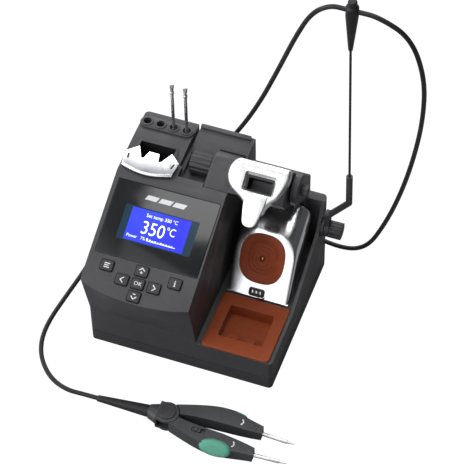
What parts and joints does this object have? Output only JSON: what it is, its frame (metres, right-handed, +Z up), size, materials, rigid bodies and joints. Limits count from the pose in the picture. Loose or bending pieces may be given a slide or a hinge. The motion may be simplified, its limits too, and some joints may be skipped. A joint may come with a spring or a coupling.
{
  "type": "soldering station",
  "caption": "Bench soldering station: sloped display and keys, tilting tool holder, brass-wool tip cleaner, wiping tray, sprung cord arm and hot tweezers on a cord.",
  "frame": {"origin": "middle of the station's footprint, on the bench", "axes": "+X to the right seen from the front, +Y to the back, +Z up"},
  "size_m": [0.3065, 0.2665, 0.362],
  "materials": {
    "housing_plastic": "satin",
    "soft_key": "satin",
    "display_glass": "polished",
    "lcd_lit": "lit",
    "board": "satin",
    "transformer_iron": "varnished",
    "polished_steel": "mirror polished",
    "holder_steel": "fine brushed",
    "steel": "turned",
    "membrane_silicone": "matt",
    "tray_silicone": "matt",
    "brass_wool": "bright",
    "black_plastic": "satin",
    "switch_rocker": "glossy",
    "cord_rubber": "satin",
    "foot_rubber": "matt",
    "grip_green": "matt"
  },
  "bodies": {
    "station": {"base_tray": "housing_plastic", "main_housing": "housing_plastic", "rear_panel": "housing_plastic", "stand_cheek": "housing_plastic", "stand_frame": "housing_plastic", "tip_rack": "housing_plastic", "puller_base": "housing_plastic", "cord_arm_boss": "housing_plastic", "tool_collar": "housing_plastic", "tool_body": "housing_plastic", "display_window": "display_glass", "lcd_module": "lcd_lit", "keypad_board": "board", "control_board": "board", "transformer": "transformer_iron", "puller_plate": "polished_steel", "base_screws": "steel", "cleaner_cup": "steel", "hinge_pin": "steel", "hinge_spring": "steel", "brass_wool": "brass_wool", "mains_inlet": "black_plastic", "fuse_housing": "black_plastic", "switch_frame": "black_plastic", "cord_to_head": "cord_rubber", "cord_to_tool": "cord_rubber", "cord_gland": "cord_rubber", "strain_relief": "cord_rubber", "base_feet": "foot_rubber"},
    "key_menu": {"key_menu": "soft_key"},
    "key_up": {"key_up": "soft_key"},
    "key_left": {"key_left": "soft_key"},
    "key_ok": {"key_ok": "soft_key"},
    "key_right": {"key_right": "soft_key"},
    "key_down": {"key_down": "soft_key"},
    "key_info": {"key_info": "soft_key"},
    "fuse_drawer": {"fuse_drawer": "black_plastic"},
    "power_switch": {"power_switch": "switch_rocker"},
    "spare_cartridge_left": {"spare_cartridge_left": "steel"},
    "spare_cartridge_right": {"spare_cartridge_right": "steel"},
    "holder": {"holder_shaft": "steel", "holder_carrier": "housing_plastic", "tool_holder": "holder_steel"},
    "holder_knob": {"holder_knob": "housing_plastic"},
    "splash_cover": {"cleaner_cover": "polished_steel", "cleaner_membrane": "membrane_silicone", "tip_wiper": "polished_steel"},
    "wiping_tray": {"wiping_tray": "tray_silicone"},
    "cord_arm": {"cord_arm": "housing_plastic", "cord_rod": "steel", "cord_head": "housing_plastic", "cord_in_head": "cord_rubber"},
    "cord_arm_knob": {"cord_arm_knob": "housing_plastic"},
    "tool_arm_upper": {"tool_arm_upper": "housing_plastic", "cartridge_upper": "steel", "grip_pad_upper": "grip_green"},
    "tool_arm_lower": {"tool_arm_lower": "housing_plastic", "cartridge_lower": "steel", "grip_pad_lower": "grip_green"},
    "align_slider": {"align_slider": "housing_plastic"}
  },
  "joints": [
    {"name": "key_menu_press", "type": "slide", "parent": "station", "child": "key_menu", "axis": [0, 0.4352, -0.9003], "range_m": [0, 0.001], "stiffness_N_per_m": 900},
    {"name": "key_up_press", "type": "slide", "parent": "station", "child": "key_up", "axis": [0, 0.4352, -0.9003], "range_m": [0, 0.001], "stiffness_N_per_m": 900},
    {"name": "key_left_press", "type": "slide", "parent": "station", "child": "key_left", "axis": [0, 0.4352, -0.9003], "range_m": [0, 0.001], "stiffness_N_per_m": 900},
    {"name": "key_ok_press", "type": "slide", "parent": "station", "child": "key_ok", "axis": [0, 0.4352, -0.9003], "range_m": [0, 0.001], "stiffness_N_per_m": 900},
    {"name": "key_right_press", "type": "slide", "parent": "station", "child": "key_right", "axis": [0, 0.4352, -0.9003], "range_m": [0, 0.001], "stiffness_N_per_m": 900},
    {"name": "key_down_press", "type": "slide", "parent": "station", "child": "key_down", "axis": [0, 0.4352, -0.9003], "range_m": [0, 0.001], "stiffness_N_per_m": 900},
    {"name": "key_info_press", "type": "slide", "parent": "station", "child": "key_info", "axis": [0, 0.4352, -0.9003], "range_m": [0, 0.001], "stiffness_N_per_m": 900},
    {"name": "fuse_drawer_pull", "type": "slide", "parent": "station", "child": "fuse_drawer", "axis": [0, 1, 0], "range_m": [0, 0.01]},
    {"name": "power_switch_rock", "type": "hinge", "parent": "station", "child": "power_switch", "pos_m": [-0.01, 0.078, 0.046], "axis": [1, 0, 0], "range_deg": [0, 17]},
    {"name": "spare_left_lift", "type": "slide", "parent": "station", "child": "spare_cartridge_left", "axis": [0, 0, 1], "range_m": [0, 0.024]},
    {"name": "spare_right_lift", "type": "slide", "parent": "station", "child": "spare_cartridge_right", "axis": [0, 0, 1], "range_m": [0, 0.024]},
    {"name": "holder_tilt", "type": "hinge", "parent": "station", "child": "holder", "pos_m": [0.0426, 0.04, 0.141], "axis": [1, 0, 0], "range_deg": [-12, 12]},
    {"name": "holder_knob_turn", "type": "hinge", "parent": "holder", "child": "holder_knob", "pos_m": [-0.018, 0.04, 0.141], "axis": [1, 0, 0], "range_deg": [0, 90]},
    {"name": "splash_cover_lift", "type": "slide", "parent": "station", "child": "splash_cover", "axis": [0, -0.7071, 0.7071], "range_m": [0, 0.018]},
    {"name": "wiping_tray_lift", "type": "slide", "parent": "station", "child": "wiping_tray", "axis": [0, 0, 1], "range_m": [0, 0.01]},
    {"name": "cord_arm_tilt", "type": "hinge", "parent": "station", "child": "cord_arm", "pos_m": [0.0927, 0.063, 0.069], "axis": [1, 0, 0], "range_deg": [-20, 20]},
    {"name": "cord_arm_knob_turn", "type": "hinge", "parent": "station", "child": "cord_arm_knob", "pos_m": [0.101, 0.063, 0.069], "axis": [1, 0, 0], "range_deg": [0, 90]},
    {"name": "tool_arm_upper_close", "type": "hinge", "parent": "station", "child": "tool_arm_upper", "pos_m": [0.012, -0.142, 0.01], "axis": [0, 0, -1], "range_deg": [0, 4.8], "stiffness_Nm_per_rad": 0.4},
    {"name": "tool_arm_lower_close", "type": "hinge", "parent": "station", "child": "tool_arm_lower", "pos_m": [0.012, -0.142, 0.005], "axis": [0, 0, 1], "range_deg": [0, 4.8], "stiffness_Nm_per_rad": 0.4},
    {"name": "align_slider_slide", "type": "slide", "parent": "tool_arm_lower", "child": "align_slider", "axis": [1, 0, 0], "range_m": [0, 0.004]}
  ],
  "couplings": [
    {"joint": "tool_arm_lower_close", "follows": "tool_arm_upper_close", "ratio": 1}
  ]
}
